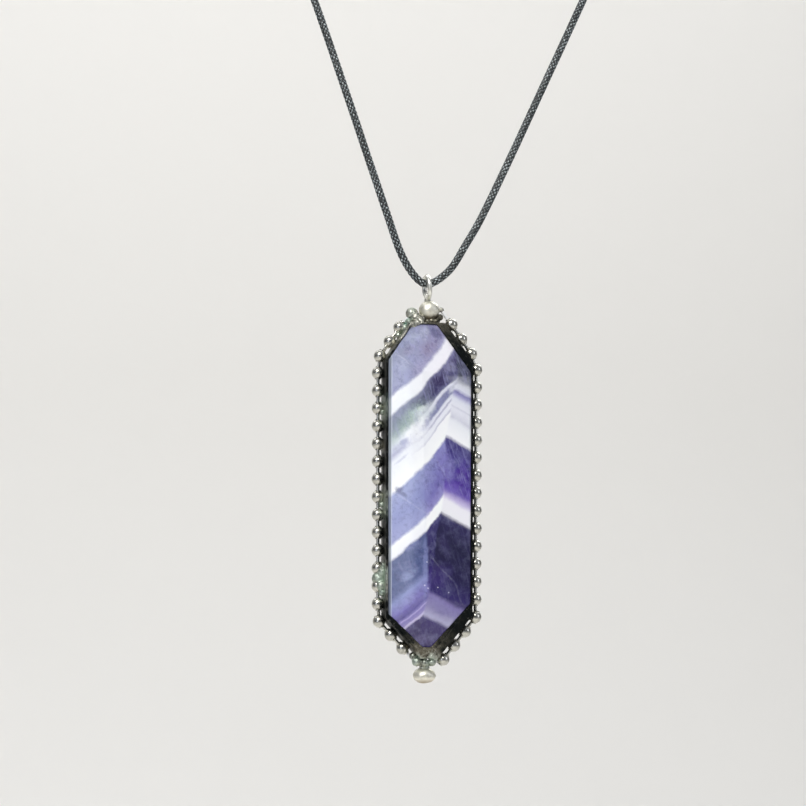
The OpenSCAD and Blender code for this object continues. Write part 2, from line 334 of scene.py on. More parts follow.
def new_nodes(owner):
    """Clears the nodes of a material or world, and returns the function that adds its new ones."""
    owner.use_nodes = True
    owner.node_tree.nodes.clear()
    return partial(add_node, owner.node_tree)


def hang_millimetres(add):
    """Object coordinates in mm from the hanging point, so that patterns keep their real scale."""
    place = add("TexCoord").outputs["Object"]
    return add("Mapping", {"Vector": place, "Scale": (1000, 1000, 1000), "Location": tuple(-HANG / MM)})


def aimed(name, data, place, target):
    """A camera or light at a place, turned towards a target."""
    thing = bpy.data.objects.new(name, data)
    bpy.context.scene.collection.objects.link(thing)
    thing.location = place
    thing.rotation_euler = (target - thing.location).to_track_quat("-Z", "Y").to_euler()
    return thing


def turns(count):
    """Angles that share out one whole turn."""
    return [2 * math.pi * k / count for k in range(count)]


def skin(body, rows, closed):
    """Faces between rows of points that go round, with the last row joined to the first or capped."""
    for a, b in zip(rows, rows[1:] + (rows[:1] if closed else [])):
        for q in range(len(a)):
            p = (q + 1) % len(a)
            body.faces.new((a[q], a[p], b[p], b[q]))
    if not closed:
        body.faces.new(rows[0][::-1])
        body.faces.new(rows[-1])
    bmesh.ops.recalc_face_normals(body, faces=body.faces)


def soften(mesh, sharp=None):
    """Smooth shading, with edges over an angle in degrees kept sharp."""
    mesh.shade_smooth()
    if sharp:
        mesh.set_sharp_from_angle(angle=math.radians(sharp))


def new_piece(name, body, material=None, sharp=None):
    """A piece made of a bmesh."""
    mesh = bpy.data.meshes.new(name)
    body.to_mesh(mesh)
    body.free()
    soften(mesh, sharp)
    piece = bpy.data.objects.new(name, mesh)
    bpy.context.scene.collection.objects.link(piece)
    if material:
        mesh.materials.append(material)
    return piece


def in_setting(piece):
    """Lets a piece swing with the pendant, as a part of the CAD model's soldered setting."""
    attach(piece, "pendant")
    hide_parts("soldered_setting")


def bake(piece):
    """Makes a piece's modifiers part of its mesh."""
    graph = bpy.context.evaluated_depsgraph_get()
    mesh = bpy.data.meshes.new_from_object(piece.evaluated_get(graph))
    piece.modifiers.clear()
    piece.data = mesh


def convex_body(planes, middle, reach):
    """A solid cut out of a block by planes, each an outward normal and a point."""
    body = bmesh.new()
    bmesh.ops.create_cube(body, size=2 * reach, matrix=Matrix.Translation(middle))
    for normal, point in planes:
        geometry = body.verts[:] + body.edges[:] + body.faces[:]
        cut = bmesh.ops.bisect_plane(
            body, geom=geometry, plane_co=point, plane_no=normal, clear_outer=True
        )
        rim = [e for e in cut["geom_cut"] if isinstance(e, bmesh.types.BMEdge)]
        if rim:
            bmesh.ops.contextual_create(body, geom=rim)
    bmesh.ops.remove_doubles(body, verts=body.verts, dist=1e-7)
    bmesh.ops.recalc_face_normals(body, faces=body.faces)
    return body


def both_sides(facets, out):
    """Front facets and their twins on the back as planes in the row's metres."""
    planes = []
    for n, d in facets:
        point = n * (d + out)
        for side in (1, -1):
            planes.append((Vector((n.x, n.y * side, n.z)), from_hang(point.x, point.y * side, point.z)))
    return planes


def side_planes(walls):
    """The outline's sides as planes in the row's metres."""
    corners = grown(walls)
    planes = []
    for i, corner in enumerate(corners):
        d = (OUTLINE[(i + 1) % len(OUTLINE)] - OUTLINE[i]).normalized()
        planes.append((Vector((-d.y, 0, d.x)), from_hang(corner.x, 0, corner.y)))
    return planes


def crystal_body(out):
    planes = side_planes([out] * len(OUTLINE)) + both_sides(PRISM_FACETS + POINT_FACETS, out)
    return convex_body(planes, from_hang(0, 0, MIDDLE_Z), 0.05)


def cut_away(piece, body):
    """Takes the shape of a bmesh out of a piece."""
    cutter = new_piece("cutter", body)
    cut = piece.modifiers.new("cut", "BOOLEAN")
    cut.operation, cut.object, cut.solver = "DIFFERENCE", cutter, "EXACT"
    bake(piece)
    mesh = cutter.data
    bpy.data.objects.remove(cutter)
    bpy.data.meshes.remove(mesh)


def uneven(place, *waves):
    """Noise at a place in mm, summed over waves with a height and a frequency per mm."""
    return sum(height * noise.noise(place * frequency) for height, frequency in waves)


# Where the solder's surface differs, in mm from the hanging point: x, z, radius and strength of
# each spot, which lies a little in front of the middle of the band. Verdigris is bluish-green
# copper salt, bare solder has lost its patina, and tarnish is the brownish grey film of solder
# that was never blackened.
MARKS = {
    "verdigris": [
        (-3.9, -7.4, 0.75, 1.0), (-5.4, -9.2, 1.2, 0.4), (-3.0, -5.2, 0.9, 0.25), (-4.6, -8.3, 0.7, 0.5),
        (-8.9, -55.4, 2.0, 0.62), (-9.0, -58.0, 1.4, 0.6), (-8.7, -42.0, 2.4, 0.4),
        (-2.4, -71.0, 1.1, 0.55), (0.2, -71.4, 1.4, 0.45), (-8.4, -24.0, 2.4, 0.3),
    ],
    "bare": [
        (-5.4, -9.8, 2.2, 0.9), (-7.2, -12.8, 1.6, 0.7), (-2.4, -7.4, 1.9, 1.0), (-3.2, -5.6, 1.6, 1.0),
        (-8.6, -41.5, 2.2, 0.8), (-8.9, -56.2, 2.8, 1.0), (-8.6, -24.5, 1.8, 0.6), (2.7, -5.0, 0.7, 0.9),
        (-2.2, -71.4, 1.4, 1.0), (0.6, -71.4, 1.7, 1.0), (-0.6, -72.6, 1.5, 1.0), (2.2, -70.9, 0.7, 0.8),
        (-8.55, -31.2, 1.0, 0.5), (0.1, -3.3, 0.9, 0.9),
    ],
    "tarnish": [
        (3.2, -7.4, 2.4, 0.6), (5.2, -10.4, 1.8, 0.3), (-0.9, -69.2, 2.7, 1.0), (2.6, -66.8, 1.8, 0.4),
        (5.4, -63.4, 1.4, 0.25), (-4.2, -66.6, 1.5, 0.35), (0.6, -7.2, 1.9, 1.0), (-3.2, -8.9, 1.0, 0.6),
    ],
}


def spot_mask(place, spots):
    """How strongly a place, in mm from the hanging point, lies in some spots with ragged edges."""
    ragged = uneven(place, (0.55, 1.7), (0.35, 4.1))
    best = 0.0
    for x, z, radius, strength in spots:
        far = math.hypot(place.x - x, 0.7 * (place.y + 0.5), place.z - z) / radius
        best = max(best, strength * min(1.0, max(0.0, 1.5 - far - ragged)))
    return best


def mark_solder(mesh):
    """Keeps where the solder's surface differs as attributes for its material."""
    for name, spots in MARKS.items():
        values = mesh.attributes.new(name, "FLOAT", "POINT")
        marks = [spot_mask((v.co - HANG) / MM, spots) for v in mesh.vertices]
        values.data.foreach_set("value", marks)


# Materials


def waxed_cotton(settings):
    # Waxed braided cotton: dyed near black, each strand glossy with wax, with painted shade in the gaps
    # between strands and pale dashes on the crowns that are wax dust and painted glints
    material = bpy.data.materials.new("waxed braided cotton")
    add = new_nodes(material)
    along = add("UVMap", uv_map="cord")
    crown = add("Attribute", attribute_name="crown").outputs["Fac"]
    # Single fibres are 0.02 mm wide. These are drawn several times as coarse, so that they show.
    fibres, dust, slow = [
        add("TexNoise", [add("Mapping", {"Vector": along, "Scale": scale}), 1, detail, rough])
        for scale, detail, rough in (((14, 3.2, 1), 5, 0.65), ((5, 2.6, 1), 3, 0.7), ((1, 0.14, 1), 2, 0.5))
    ]
    patches = add("MapRange", [slow, 0, 1, 0.44, 0.6])
    wax_dust_and_glints = add("Math", [dust, patches], operation="MULTIPLY")
    wax_dust_and_glints = add("MapRange", [wax_dust_and_glints, 0.25, 0.31])
    # Painted glints: the pale wax dust shows only on the strands' crowns, as dashes of highlight
    glint_crowns = add("MapRange", [crown, 0.8, 0.93])
    wax_dust_and_glints = add("Math", [wax_dust_and_glints, glint_crowns], operation="MULTIPLY")
    out_of_gap_shade = add("Math", [crown, 2], operation="POWER")
    worn = add("MapRange", [fibres, 0.5, 0.75, 0, 0.55])
    # Painted shade: the gaps between strands start near black, and the cotton colour shows only towards the
    # crowns
    tint = "#050708"
    for share, code in ((out_of_gap_shade, settings.cotton), (worn, "#262E33"), (wax_dust_and_glints, settings.wax)):
        tint = add("Mix", [share, tint, code], data_type="RGBA")
    looks = {
        "Base Color": tint,
        "Roughness": add("MapRange", [fibres, 0, 1, 0.38, 0.6]),
        "Normal": add("Bump", {"Height": fibres, "Strength": 0.6, "Distance": 0.06 * MM}),
    }
    add("OutputMaterial", [add("BsdfPrincipled", looks)])
    return material


# Growth that the tables of bands cover, in mm
GROWTH = 70
# Which way the left-hand and the right-hand bands grow, and how fast their depth runs that way
LEFT_GROWTH, RIGHT_GROWTH = (-1.11, -0.62, 1.0), (0.5, 0.0, 1.0)
# Colours of the growth bands and how clouded each is, by the depth in mm that the pattern gives:
# near the ridge on the left, further out on the left, and on the right of the bands' bend
MIDDLE_BANDS = [
    (-3, "#8E8CAA", 1), (-9, "#9691B3", 1), (-11, "#A5A3C4", 0.8), (-11.9, "#F3F2FA", 0.05),
    (-14.6, "#F4F2FA", 0.05), (-15.2, "#7C7AA0", 0.7), (-16.5, "#484068", 1), (-18.6, "#443F66", 1),
    (-19.8, "#66668A", 0.9), (-20.2, "#E4E6F2", 0.1), (-20.8, "#D9DAEA", 0.2), (-21.2, "#8C8FB0", 0.7),
    (-22.6, "#8487AB", 0.7), (-23, "#DEE0EE", 0.2), (-23.6, "#E9EAF5", 0.1), (-23.9, "#9F9DBB", 0.4),
    (-24.3, "#E9EAF5", 0.1), (-25.3, "#EEF0F8", 0.05), (-25.6, "#B3B2CB", 0.3), (-25.9, "#F8F9FD", 0.05),
    (-29.4, "#FCFDFF", 0), (-30, "#8A8AC0", 0.8), (-32.5, "#817FBC", 1), (-37, "#7770B4", 0.9),
    (-39.6, "#9A95CC", 0.5), (-40.2, "#FCFDFF", 0), (-42.1, "#FCFDFF", 0), (-42.6, "#474273", 0.9),
    (-48, "#2F2958", 0.9), (-52, "#3C3174", 0.9), (-54, "#6F65AC", 0.6),
]
OUTER_BANDS = [
    (-3, "#9096AE", 0.9), (-11, "#9FA2C2", 0.8), (-11.8, "#F2F4FA", 0.05), (-14.6, "#EFF2F7", 0.05),
    (-15.2, "#8A8FA6", 0.5), (-17, "#808A98", 0.8), (-18.6, "#8F9D9E", 0.7), (-19.9, "#BCC9C8", 0.5),
    (-21.2, "#D9DFE8", 0.2), (-22.6, "#B3B5CF", 0.5), (-24, "#ECEFF6", 0.1), (-29.6, "#FCFDFF", 0),
    (-30.3, "#A0A8D0", 0.7), (-35, "#9299C8", 0.8), (-39.2, "#A0A4D0", 0.4), (-39.9, "#F6F8FC", 0),
    (-42, "#F2F3FA", 0), (-42.6, "#59628C", 0.7), (-46, "#505C88", 1), (-49.2, "#56608E", 0.8),
    (-50.8, "#8D95C6", 0.5), (-52.9, "#847DBC", 0.7), (-55, "#5F569E", 0.8), (-55.8, "#8E84C4", 0.4),
    (-56.1, "#B9B0DE", 0.1), (-56.4, "#8277BA", 0.5), (-57.5, "#958BC4", 0.4), (-57.8, "#D3CCEA", 0),
    (-58.1, "#C2BADF", 0), (-58.5, "#3E3268", 0.9), (-61, "#2C2158", 1), (-70, "#2C2258", 1),
]
RIGHT_BANDS = [
    (-8, "#7C7A9C", 0.5), (-13.8, "#8D8DA2", 0.4), (-15.2, "#545668", 0.6), (-17.5, "#404154", 1),
    (-20, "#565A68", 0.8), (-20.9, "#D4D6E0", 0.1), (-21.7, "#DDDFEC", 0.1), (-22.1, "#8783B4", 0.6),
    (-22.6, "#A5A3CC", 0.4), (-23.4, "#E2E4F0", 0.1), (-24.6, "#E9EAF4", 0.05), (-24.9, "#D8D9E6", 0.2),
    (-25.2, "#E9EAF4", 0.05), (-26.8, "#DADBE7", 0.2), (-27.2, "#EEF0F7", 0.03), (-29, "#FAFBFF", 0),
    (-29.5, "#4B447E", 0.8), (-33, "#4A428A", 1), (-36, "#4E3A96", 0.9), (-38.4, "#6D57B2", 0.6),
    (-39.9, "#C9BEE4", 0.1), (-40.5, "#F4F2FB", 0), (-42.1, "#F4F3FA", 0), (-42.7, "#38335C", 0.6),
    (-46, "#24223F", 0.45), (-50.5, "#241F48", 0.45), (-53.9, "#352A6A", 0.55), (-54.5, "#7F74B0", 0.4),
    (-56.5, "#8A84B4", 0.4), (-58.1, "#B4B1D2", 0.2), (-58.7, "#35256A", 0.7), (-62, "#2C1D5E", 1),
]
# Depths of the right-hand bands, and the depths in the tables that they stand for
BEND = [
    (-70, -65), (-63.6, -58.5), (-59, -54.4), (-43, -42.5), (-39.1, -39.9), (-28.3, -29.4), (-23.9, -26.8),
    (-18.5, -22.1), (-16.4, -20.7), (-10.6, -15.4), (-7, -13.2), (0, -9),
]
# Healed cracks that run back through the stone: two ends as seen from the front, in mm from the
# hanging point (across and up), and how pale they are
CRACKS = [
    ((-5.9, -39.6), (0.6, -43.8), 0.5), ((0.5, -51.1), (5.1, -56.2), 0.34),
    ((5.1, -56.2), (6.7, -60.4), 0.2), ((1.4, -33), (4.2, -37.5), 0.2), ((-3.6, -45), (-1.6, -47.6), 0.25),
    ((-0.6, -10.6), (0.8, -13.6), 0.3), ((-6.2, -12.6), (-1.2, -17.4), 0.3),
    ((-4.6, -9.9), (2.2, -11.6), 0.2),
]
# Clouds in the bands: across, up, half width and half height in mm, turn in degrees, colour and
# strength. One with a negative strength tints the white bands too.
CLOUDS = [
    (-3, -25.4, 3.4, 1.3, 48, "#A9BDB2", 0.75), (-1.9, -24.4, 1.6, 0.8, 48, "#CFE2D8", 0.8),
    (-4.9, -26.4, 1.5, 0.8, 40, "#74828C", 0.5), (2.4, -17.6, 2, 1.3, 50, "#3C3558", 0.75),
    (4.3, -16, 1.2, 1, 50, "#8A8AA2", 0.5), (3.4, -34.4, 1.5, 3, 20, "#857EC0", 0.75),
    (6.6, -36.6, 1.3, 3, 0, "#523896", 0.9), (4.5, -38.6, 1.5, 1, 20, "#7A66BE", 0.6),
    (-5.2, -20.6, 2, 0.9, 42, "#8F92B4", 0.5), (-1, -16, 2.4, 1.1, 45, "#A79FC0", 0.5),
    (1.4, -9.4, 1.7, 0.8, -30, "#5C5C82", 0.7), (-2.2, -10.4, 2, 1, 10, "#B4B9D2", 0.5),
    (0.6, -12.8, 1.6, 1.2, 0, "#8F84A2", 0.7), (-3.4, -12.8, 1.4, 0.9, 20, "#9C97B4", 0.6),
    (-0.4, -9.4, 1, 0.8, 0, "#C3C8DC", 0.5), (-4.6, -15.6, 1.3, 0.9, 30, "#B2B6D0", 0.5),
    (-3.2, -48.9, 1.6, 1, 30, "#9AA2D2", 0.6), (-3.4, -54.6, 1.5, 0.7, 35, "#9CA5D0", 0.65),
    (-4.6, -57.2, 1.8, 0.8, 30, "#535D88", 0.6), (-0.4, -53.2, 0.45, 6, 0, "#8D93C6", 0.55),
    (2.2, -54.8, 2, 2.4, -40, "#44307E", 0.85), (5.4, -50.6, 2.6, 3.4, 0, "#2C2B4C", 0.6),
    (3.2, -49, 1, 2.2, 10, "#4C4478", 0.6), (-3.8, -60.8, 1.9, 0.7, 40, "#6A5DB0", 0.6),
    (2.6, -61.2, 1.6, 1, -30, "#7468A4", 0.6), (4.2, -63.4, 1.4, 0.8, -35, "#B9B7D0", 0.7),
    (-0.9, -66.6, 2, 0.9, 0, "#5F5782", 0.6), (-5.4, -38.9, 0.75, 0.6, 0, "#6A6E90", -0.85),
    (-4.5, -39.7, 1, 0.35, -35, "#74789C", -0.8), (-0.5, -24.3, 2.3, 1.1, 48, "#DCE3E8", -0.75),
    (-2.3, -28.2, 3, 1.5, 45, "#F6F8FC", -0.85), (4.9, -19.9, 1.2, 0.45, 48, "#E4E6F0", -0.7),
    (-6, -31.2, 1.6, 0.5, 35, "#C3C7DA", -0.7), (-4.4, -30, 0.9, 0.5, 40, "#9C9FC2", -0.7),
    (-5, -33.4, 1.6, 0.25, 38, "#C9CCDE", -0.6), (6.6, -18.4, 2.4, 0.8, -8, "#A3A5B2", -0.6),
]
# Small bright flaws just under the surface, painted as the glints they give: across, up and radius in mm
FLAW_GLINTS = [
    (-0.1, -52.2, 0.17), (-0.5, -56.6, 0.22), (0.1, -57.1, 0.2), (1.8, -57, 0.15), (3.8, -57.8, 0.13),
]
# The front of the stone as its clouds and cracks are placed on it: 9 degrees from its left and 5
# from below, the side that the bands are seen from
SEEN_LEFT, SEEN_BELOW = math.radians(9), math.radians(5)
ACROSS = (math.cos(SEEN_LEFT), -math.sin(SEEN_LEFT), 0.0)
UP = (0.0, -math.sin(SEEN_BELOW), math.cos(SEEN_BELOW))
# How the noise of the stone's fibres is stretched: a direction and frequency for each of its axes
FIBRE_WAYS = ((2.4, 0.5, 0.8), (0.1, 1.6, 0.0), (-0.09, 0.0, 0.26))


def chevron_amethyst(settings):
    # Chevron amethyst: quartz grown in white and violet bands that meet at an angle, cut flat and
    # polished, so that it is glossy on the facets and milky below them
    material = bpy.data.materials.new("polished chevron amethyst")
    add = new_nodes(material)
    straight = hang_millimetres(add)
    place = straight
    # Growth bands wander slowly, and their edges are finely ragged
    for scale, share in ((0.22, 1), (1.3, 0.3), (5, 0.14)):
        swirl = add("TexNoise", [place, scale, 2]).outputs["Color"]
        swirl = add("VectorMath", [swirl, (0.5, 0.5, 0.5)], operation="SUBTRACT")
        amount = (share * settings.wander,) * 3
        place = add("VectorMath", [swirl, amount, place], operation="MULTIPLY_ADD")
    left, right, diagonal, across, up = [
        add("VectorMath", [place, way], operation="DOT_PRODUCT")
        for way in (LEFT_GROWTH, RIGHT_GROWTH, (1, 0, 0.9), ACROSS, UP)
    ]
    # The bands lie a little lower towards the upper right
    shift = add("MapRange", [diagonal, -16.8, -10.8, 0, 1.3])
    left = add("Math", [left, shift], operation="ADD")
    # The ramps take the depths from 0 to 1
    left, right = [add("MapRange", [depth, -GROWTH, 0]) for depth in (left, right)]
    bend = [((GROWTH + a) / GROWTH, (GROWTH + b) / GROWTH) for a, b in BEND]
    right = add("FloatCurve", {"Value": right}, points=bend)
    depth = add("Math", [left, right], operation="MAXIMUM")
    ramps = []
    for bands in (MIDDLE_BANDS, OUTER_BANDS, RIGHT_BANDS):
        stops = [((GROWTH + t) / GROWTH, (*linear(code)[:3], cloud)) for t, code, cloud in reversed(bands)]
        ramps.append(add("ValToRGB", [depth], stops=stops).outputs)
    # The outer colours end near the front ridge low on the stone, and fade out softly above
    spread = add("SeparateXYZ", [place]).outputs
    ridge = [spread["Z"], RIDGE_BOTTOM.z, RIDGE_TOP.z, RIDGE_BOTTOM.x + 0.3, RIDGE_TOP.x + 0.3]
    width = add("MapRange", [spread["Z"], -46, -36, 0.5, 5])
    outward = add("Math", [add("MapRange", ridge), spread["X"]], operation="SUBTRACT")
    outward = add("Math", [outward, width], operation="DIVIDE")
    outward = add("Math", [outward, 0.5], operation="ADD", use_clamp=True)
    # The right-hand bands take over within about 0.6 mm, where they lie higher
    over = add("Math", [right, left], operation="SUBTRACT")
    over = add("Math", [over, 110, 0.5], operation="MULTIPLY_ADD", use_clamp=True)
    tint, cloudy = ramps[0]
    for share, (bands, clouds) in ((outward, ramps[1]), (over, ramps[2])):
        tint = add("Mix", [share, tint, bands], data_type="RGBA")
        cloudy = add("Mix", [share, cloudy, clouds])
    # Soft clouds at their places, with edges broken up by noise
    flat = add("CombineXYZ", [across, up])
    ragged = add("TexNoise", [place, 0.9, 5, 0.6])
    for x, y, half_w, half_h, turn, code, strength in CLOUDS:
        # The TEXTURE kind of mapping moves, turns and then scales, so that the cloud is one unit round
        oval = [flat, (x, y, 0), (0, 0, math.radians(turn)), (half_w, half_h, 1)]
        away = add("VectorMath", [add("Mapping", oval, vector_type="TEXTURE")], operation="LENGTH")
        away = add("Math", [ragged, 1.6, away], operation="MULTIPLY_ADD")
        cloud = add("MapRange", [away, 1.2, 2.3, abs(strength), 0], interpolation_type="SMOOTHSTEP")
        if strength > 0:
            cloud = add("Math", [cloud, cloudy], operation="MULTIPLY")
        tint = add("Mix", [cloud, tint, code], data_type="RGBA")
    # Milky veils, smoky patches and fibres along the growth, all finer than the clouds
    veil = add("TexNoise", [place, 0.55, 6, 0.65])
    veil = add("MapRange", [veil, 0.46, 0.8, 0, settings.cloud])
    smoke = add("TexNoise", [place, 1.15, 5, 0.68])
    smoke = add("MapRange", [smoke, 0.52, 0.25, 0, 0.6])
    grain = [add("VectorMath", [place, way], operation="DOT_PRODUCT") for way in FIBRE_WAYS]
    fibres = add("TexNoise", [add("CombineXYZ", grain), 1, 3, 0.6])
    fibres = add("MapRange", [fibres, 0.5, 0.68, 0, 0.32])
    fewer = add("MapRange", [spread["Z"], -46, -40, 0.35, 1])
    fibres = add("Math", [fibres, fewer], operation="MULTIPLY")
    for amount, code in ((smoke, "#342C62"), (veil, "#A7ABD6"), (fibres, "#A9A8DC")):
        amount = add("Math", [amount, cloudy], operation="MULTIPLY")
        tint = add("Mix", [amount, tint, code], data_type="RGBA")
    broken = add("MapRange", [ragged, 0.4, 0.6, 0.3, 1])
    for first, last, strength in CRACKS:
        # A crack goes from -1 to 1 along X, and fades out from 0 to 1 on each side of it along Y
        (ax, ay), (bx, by) = first, last
        size = (math.dist(first, last) / 2, 0.24, 1)
        strip = [flat, ((ax + bx) / 2, (ay + by) / 2, 0), (0, 0, math.atan2(by - ay, bx - ax)), size]
        local = add("SeparateXYZ", [add("Mapping", strip, vector_type="TEXTURE")]).outputs
        beside, beyond = [add("Math", [local[axis]], operation="ABSOLUTE") for axis in "YX"]
        line = add("MapRange", [beside, 0, 1, strength, 0])
        for share in (add("MapRange", [beyond, 0.8, 1, 1, 0]), cloudy, broken):
            line = add("Math", [line, share], operation="MULTIPLY")
        tint = add("Mix", [line, tint, "#C9C9E4"], data_type="RGBA")
    # Painted glints where the small flaws catch the light
    for x, y, radius in FLAW_GLINTS:
        away = add("VectorMath", [flat, (x, y, 0)], operation="DISTANCE")
        flaw_glint = add("MapRange", [away, 0, radius, 1, 0])
        tint = add("Mix", [flaw_glint, tint, "#E9E9F8"], data_type="RGBA")
    # Painted highlight along the left edge beside the narrow facet, and painted shade on the narrow facet
    # beyond it, which also stands for dark foil showing through
    side = add("SeparateXYZ", [straight]).outputs["X"]
    for inner, outer, amount, code in ((-7.22, -7.34, 0.45, "#DCE2F0"), (-7.42, -7.5, 0.55, "#39474C")):
        edge = add("MapRange", [side, inner, outer, 0, amount])
        tint = add("Mix", [edge, tint, code], data_type="RGBA")
    # Polished quartz has an index of 1.54, and light goes a little way into its milky bands
    wear = add("TexNoise", [place, 1.1, 4])
    looks = {
        "Base Color": tint,
        "IOR": 1.54,
        "Roughness": add("MapRange", [wear, 0, 1, 0.05, 0.18]),
        "Subsurface Weight": 0.15,
        "Subsurface Radius": (1.0, 0.9, 1.0),
        "Subsurface Scale": 0.8 * MM,
        "Normal": add("Bump", {"Height": wear, "Strength": 0.2, "Distance": 0.04 * MM}),
    }
    add("OutputMaterial", [add("BsdfPrincipled", looks)])
    return material


def patinated_solder(settings):
    # Tin solder over copper foil, blackened with patina: dark and glossy, with bare metal on its
    # lumps, a brownish film where it was never blackened and copper salts in a few hollows
    material = bpy.data.materials.new("blackened solder on copper foil")
    add = new_nodes(material)
    place = hang_millimetres(add)
    mottle = add("TexNoise", [place, 1.6, 6, 0.62])
    fine = add("TexNoise", [place, 5.5, 4, 0.6])
    bare, salts, film = [
        add("Attribute", attribute_name=name).outputs["Fac"] for name in ("bare", "verdigris", "tarnish")
    ]
    patchy = add("MapRange", [mottle, 0.58, 0.74, 0, 0.3])
    bare = add("Math", [bare, patchy], operation="MAXIMUM")
    grey = add("MapRange", [fine, 0.35, 0.65])
    oxide = add("Mix", [grey, "#5A5548", "#8A8678"], data_type="RGBA")
    tin = add("Mix", [grey, "#96968C", settings.bright], data_type="RGBA")
    green = add("ValToRGB", [salts], stops=[(0.66, linear(settings.mint)), (0.95, linear("#2F8068"))])
    tint = settings.dark
    for share, layer in ((film, oxide), (bare, tin), (salts, green)):
        tint = add("Mix", [share, tint, layer], data_type="RGBA")
    rough = add("MapRange", [mottle, 0.3, 0.7, 0.38, 0.56])
    for share, least in ((film, 0.38), (bare, 0.4)):
        least = add("Math", [share, least], operation="MULTIPLY")
        rough = add("Math", [rough, least], operation="MAXIMUM")
    looks = {
        "Base Color": tint,
        "Metallic": add("MapRange", [salts, 0.5, 0.9, 1, 0.1]),
        "Roughness": rough,
        "Normal": add("Bump", {"Height": fine, "Strength": 0.5, "Distance": 0.06 * MM}),
    }
    add("OutputMaterial", [add("BsdfPrincipled", looks)])
    return material


def bright_solder():
    # Solder balls left bright: soft warm silver tin with a satin skin, dulled in patches, with painted
    # shade that turns its top olive-grey and its underside brown
    material = bpy.data.materials.new("satin tin solder")
    add = new_nodes(material)
    place = hang_millimetres(add)
    film = add("TexNoise", [place, 1.1, 5, 0.62])
    grain = add("TexNoise", [place, 4.5, 4, 0.6])
    up = add("SeparateXYZ", [add("NewGeometry").outputs["Normal"]]).outputs["Z"]
    tint = "#F0EDE0"
    # Painted shade by which way the surface faces: the top turns olive-grey and the underside brown; the
    # dull patches come from noise
    for value, none, full, amount, code in (
        (film, 0.5, 0.68, 0.5, "#A6A392"), (up, 0.65, 1, 0.55, "#8C907C"), (up, -0.6, -0.95, 0.7, "#8A7048"),
    ):
        share = add("MapRange", [value, none, full, 0, amount])
        tint = add("Mix", [share, tint, code], data_type="RGBA")
    looks = {
        "Base Color": tint,
        "Metallic": 1.0,
        "Roughness": add("MapRange", [grain, 0.3, 0.7, 0.42, 0.58]),
        "Normal": add("Bump", {"Height": grain, "Strength": 0.35, "Distance": 0.05 * MM}),
    }
    add("OutputMaterial", [add("BsdfPrincipled", looks)])
    return material


def plated_metal(name, code, dulled, low, high):
    # Nickel or silver plate: bright, a little warm, dulled by fine scratches and handling
    material = bpy.data.materials.new(name)
    add = new_nodes(material)
    place = hang_millimetres(add)
    film = add("TexNoise", [place, 1.3, 4, 0.6])
    scratches = add("TexNoise", [place, 9, 3])
    dull = add("MapRange", [film, 0.5, 0.75, 0, 0.5])
    looks = {
        "Base Color": add("Mix", [dull, code, dulled], data_type="RGBA"),
        "Metallic": 1.0,
        "Roughness": add("MapRange", [scratches, 0.3, 0.7, low, high]),
    }
    add("OutputMaterial", [add("BsdfPrincipled", looks)])
    return material


# Middle of the stretch of wall that the photograph's view shows behind the pendant, in metres
LIT_WALL = (0.38, 2.4, 0.04)


def matt_paint(code):
    # Matt emulsion on the studio floor and wall. Away from the lit wall it glows a little for the
    # camera alone, so that it is as pale from every side and adds no light to the pendant.
    material = bpy.data.materials.new("matt studio paint")
    add = new_nodes(material)
    grain = add("TexNoise", {"Scale": 40, "Detail": 3})
    place = add("TexCoord").outputs["Object"]
    away = add("VectorMath", [place, LIT_WALL], operation="DISTANCE")
    glow = add("MapRange", [away, 1, 3, 0, 0.5])
    seen = add("LightPath").outputs["Is Camera Ray"]
    looks = {
        "Base Color": code,
        "Roughness": add("MapRange", [grain, 0, 1, 0.75, 0.9]),
        "Emission Color": code,
        "Emission Strength": add("Math", [glow, seen], operation="MULTIPLY"),
    }
    add("OutputMaterial", [add("BsdfPrincipled", looks)])
    return material


# Stage


